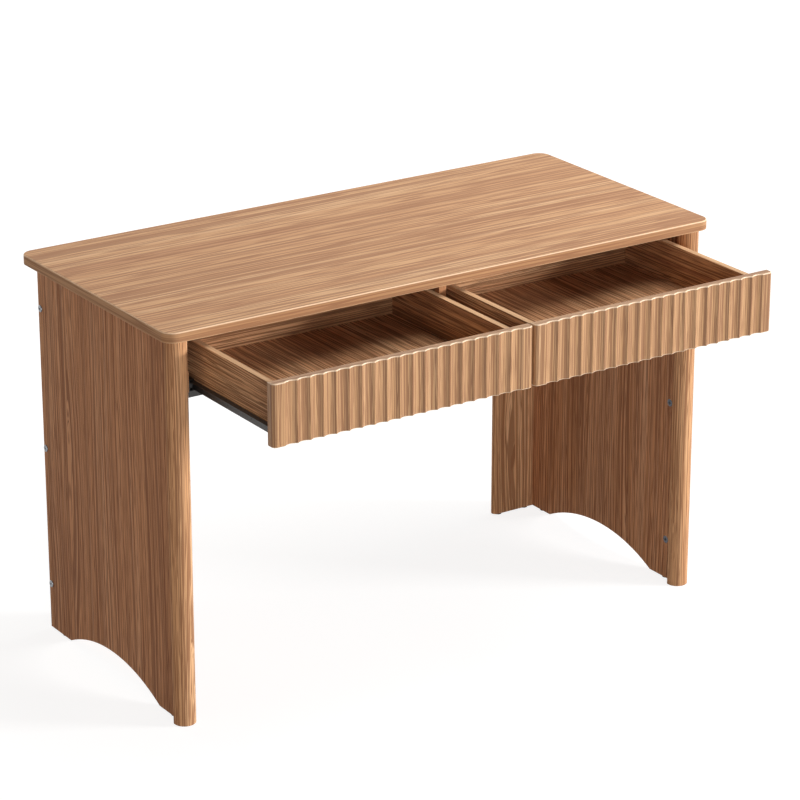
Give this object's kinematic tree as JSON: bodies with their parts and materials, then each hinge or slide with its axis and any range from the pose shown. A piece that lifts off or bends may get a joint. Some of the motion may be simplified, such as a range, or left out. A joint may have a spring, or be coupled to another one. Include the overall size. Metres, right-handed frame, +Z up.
{
  "type": "writing desk",
  "caption": "Wood-grain writing desk with a round-cornered top, arched panel legs with half-round front posts, and fluted drawers on roller runners.",
  "frame": {"origin": "on the floor, midway across the desk and midway from the desktop's back edge to the open drawers' fronts", "axes": "+X to the right along the desk's width, +Y towards the back, +Z up; the drawers open towards -Y"},
  "size_m": [1.2, 0.808, 0.762],
  "materials": {
    "foil_top": "satin wood-grain foil, grain along the width",
    "foil_upright": "satin wood-grain foil, grain upright",
    "foil_front": "satin wood-grain foil pressed over routed flutes",
    "foil_box": "matt wood-grain foil",
    "foil_bottom": "matt wood-grain foil on thin fibreboard",
    "black_steel": "satin black epoxy powder coat",
    "zinc_alloy": "die-cast, tumbled",
    "plated_steel": "bright zinc plate",
    "beech": "turned and grooved",
    "roller_plastic": "moulded",
    "glide_plastic": "moulded"
  },
  "bodies": {
    "frame": {"desktop": "foil_top", "back_panel": "foil_upright", "centre_divider": "foil_upright", "front_rail": "black_steel", "left_side_panel": "foil_upright", "left_front_post": "foil_upright", "left_rear_wing": "foil_upright", "left_runner_batten": "foil_upright", "left_inner_fixed_runner": "black_steel", "left_outer_fixed_runner": "black_steel", "right_side_panel": "foil_upright", "right_front_post": "foil_upright", "right_rear_wing": "foil_upright", "right_runner_batten": "foil_upright", "right_inner_fixed_runner": "black_steel", "right_outer_fixed_runner": "black_steel", "frame_cam_locks": "zinc_alloy", "frame_cam_bolts": "plated_steel", "frame_dowels": "beech", "wing_bolts": "plated_steel", "wing_barrel_nuts": "plated_steel", "glides": "glide_plastic", "batten_screws": "plated_steel", "fixed_runner_screws": "plated_steel", "front_rail_screws": "plated_steel", "divider_screws": "plated_steel"},
    "left_drawer": {"left_drawer_front": "foil_front", "left_drawer_inner_side": "foil_box", "left_drawer_outer_side": "foil_box", "left_drawer_back": "foil_box", "left_drawer_bottom": "foil_bottom", "left_inner_drawer_runner": "black_steel", "left_outer_drawer_runner": "black_steel", "left_drawer_cam_locks": "zinc_alloy", "left_drawer_cam_bolts": "plated_steel", "left_drawer_back_screws": "plated_steel", "left_drawer_runner_screws": "plated_steel"},
    "left_front_rollers": {"left_front_rollers": "roller_plastic"},
    "left_rear_rollers": {"left_rear_rollers": "roller_plastic"},
    "right_drawer": {"right_drawer_front": "foil_front", "right_drawer_inner_side": "foil_box", "right_drawer_outer_side": "foil_box", "right_drawer_back": "foil_box", "right_drawer_bottom": "foil_bottom", "right_inner_drawer_runner": "black_steel", "right_outer_drawer_runner": "black_steel", "right_drawer_cam_locks": "zinc_alloy", "right_drawer_cam_bolts": "plated_steel", "right_drawer_back_screws": "plated_steel", "right_drawer_runner_screws": "plated_steel"},
    "right_front_rollers": {"right_front_rollers": "roller_plastic"},
    "right_rear_rollers": {"right_rear_rollers": "roller_plastic"}
  },
  "joints": [
    {"name": "left_drawer_slide", "type": "slide", "parent": "frame", "child": "left_drawer", "axis": [0, -1, 0], "range_m": [-0.269, 0.031]},
    {"name": "left_front_rollers_turn", "type": "hinge", "parent": "frame", "child": "left_front_rollers", "pos_m": [-0.3, -0.099, 0.6415], "axis": [1, 0, 0], "range_deg": [-1980, 232]},
    {"name": "left_rear_rollers_turn", "type": "hinge", "parent": "left_drawer", "child": "left_rear_rollers", "pos_m": [-0.3, 0.003, 0.6412], "axis": [1, 0, 0], "range_deg": [-1980, 232]},
    {"name": "right_drawer_slide", "type": "slide", "parent": "frame", "child": "right_drawer", "axis": [0, -1, 0], "range_m": [-0.269, 0.031]},
    {"name": "right_front_rollers_turn", "type": "hinge", "parent": "frame", "child": "right_front_rollers", "pos_m": [0.3, -0.099, 0.6415], "axis": [1, 0, 0], "range_deg": [-1980, 232]},
    {"name": "right_rear_rollers_turn", "type": "hinge", "parent": "right_drawer", "child": "right_rear_rollers", "pos_m": [0.3, 0.003, 0.6412], "axis": [1, 0, 0], "range_deg": [-1980, 232]}
  ],
  "couplings": [
    {"joint": "left_front_rollers_turn", "follows": "left_drawer_slide", "rad_per_m": 128.21},
    {"joint": "left_rear_rollers_turn", "follows": "left_drawer_slide", "rad_per_m": 128.21},
    {"joint": "right_front_rollers_turn", "follows": "right_drawer_slide", "rad_per_m": 128.21},
    {"joint": "right_rear_rollers_turn", "follows": "right_drawer_slide", "rad_per_m": 128.21}
  ]
}
